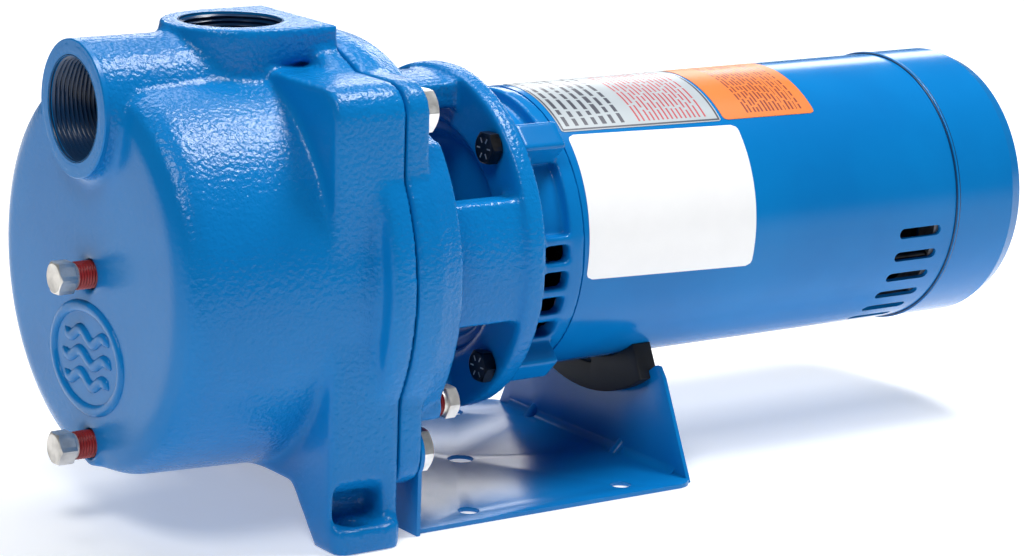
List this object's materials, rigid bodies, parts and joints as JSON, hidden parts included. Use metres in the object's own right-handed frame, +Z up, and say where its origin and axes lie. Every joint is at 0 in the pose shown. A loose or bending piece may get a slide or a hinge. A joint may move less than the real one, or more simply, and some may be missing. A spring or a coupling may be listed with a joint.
{
  "type": "shallow well jet pump",
  "caption": "Close-coupled shallow well jet pump: cast casing with front suction and top discharge ports, open adapter, electric motor and sheet bracket.",
  "frame": {"origin": "centre of the foot bracket's four holes, on the surface the pump stands on", "axes": "+X along the shaft from the pump casing to the motor, +Z up"},
  "size_m": [0.5335, 0.214, 0.2306],
  "materials": {
    "black_oxide": "oiled black oxide",
    "black_rubber": "matt moulded rubber",
    "blue_casting": "glossy blue enamel over pebbled cast iron",
    "blue_motor": "glossy blue enamel over sheet and cast aluminium",
    "blue_sheet": "glossy blue enamel over bent sheet steel",
    "brass": "turned brass",
    "cast_aluminium": "as cast",
    "copper": "varnished copper wire",
    "dark_plastic": "moulded plastic",
    "gasket": "fibre-filled sheet",
    "grey_label": "sticker with plain bars",
    "impeller_plastic": "glass-filled moulded plastic",
    "lamination": "stacked electrical steel",
    "orange_label": "blank glossy sticker",
    "plug_steel": "pale turned steel with thread sealant",
    "steel": "ground steel",
    "white_ceramic": "lapped ceramic",
    "white_label": "blank glossy sticker",
    "zinc": "bright zinc plate"
  },
  "bodies": {
    "pump": {"pump_casing": "blue_casting", "motor_adapter": "blue_casting", "casing_gasket": "gasket", "casing_bolts": "zinc", "motor_bolts": "black_oxide", "guide_vane_screws": "steel", "nozzle_plug": "plug_steel", "casing_drain_plug": "plug_steel", "adapter_drain_plug": "plug_steel", "jet_nozzle": "brass", "nozzle_seal_ring": "black_rubber", "venturi_tube": "impeller_plastic", "venturi_seal_ring": "black_rubber", "guide_vane": "impeller_plastic", "seal_seat": "white_ceramic", "seal_seat_cup": "black_rubber", "front_end_bell": "blue_motor", "motor_shell": "blue_motor", "rear_end_bell": "cast_aluminium", "through_bolts": "black_oxide", "rear_cover": "blue_motor", "cover_screws": "zinc", "stator_core": "lamination", "stator_windings": "copper", "bearing_wave_washer": "steel", "foot_bracket": "blue_sheet", "motor_cushion": "black_rubber", "start_switch": "dark_plastic", "start_capacitor": "dark_plastic", "capacitor_clamp": "steel", "terminal_board": "dark_plastic", "blank_label": "white_label", "data_label": "grey_label", "warning_label": "orange_label", "front_bearing_outer_ring": "steel", "rear_bearing_outer_ring": "steel"},
    "rotor": {"motor_shaft": "steel", "rotor_core": "lamination", "cooling_fan": "dark_plastic", "impeller": "impeller_plastic", "seal_head": "dark_plastic", "seal_spring": "steel", "water_slinger": "black_rubber", "front_bearing_inner_ring": "steel", "rear_bearing_inner_ring": "steel", "governor_carrier": "steel"},
    "front_balls": {"front_bearing_balls": "steel"},
    "rear_balls": {"rear_bearing_balls": "steel"},
    "governor": {"governor_collar": "dark_plastic"}
  },
  "joints": [
    {"name": "shaft_spin", "type": "hinge", "parent": "pump", "child": "rotor", "pos_m": [0, 0, 0.118], "axis": [1, 0, 0], "continuous": true},
    {"name": "front_cage_spin", "type": "hinge", "parent": "pump", "child": "front_balls", "pos_m": [0, 0, 0.118], "axis": [1, 0, 0], "continuous": true},
    {"name": "rear_cage_spin", "type": "hinge", "parent": "pump", "child": "rear_balls", "pos_m": [0, 0, 0.118], "axis": [1, 0, 0], "continuous": true},
    {"name": "governor_slide", "type": "slide", "parent": "rotor", "child": "governor", "axis": [-1, 0, 0], "range_m": [0, 0.003], "stiffness_N_per_m": 200, "springref_m": -0.002}
  ],
  "couplings": [
    {"joint": "front_cage_spin", "follows": "shaft_spin", "ratio": 0.3825},
    {"joint": "rear_cage_spin", "follows": "shaft_spin", "ratio": 0.3825}
  ]
}
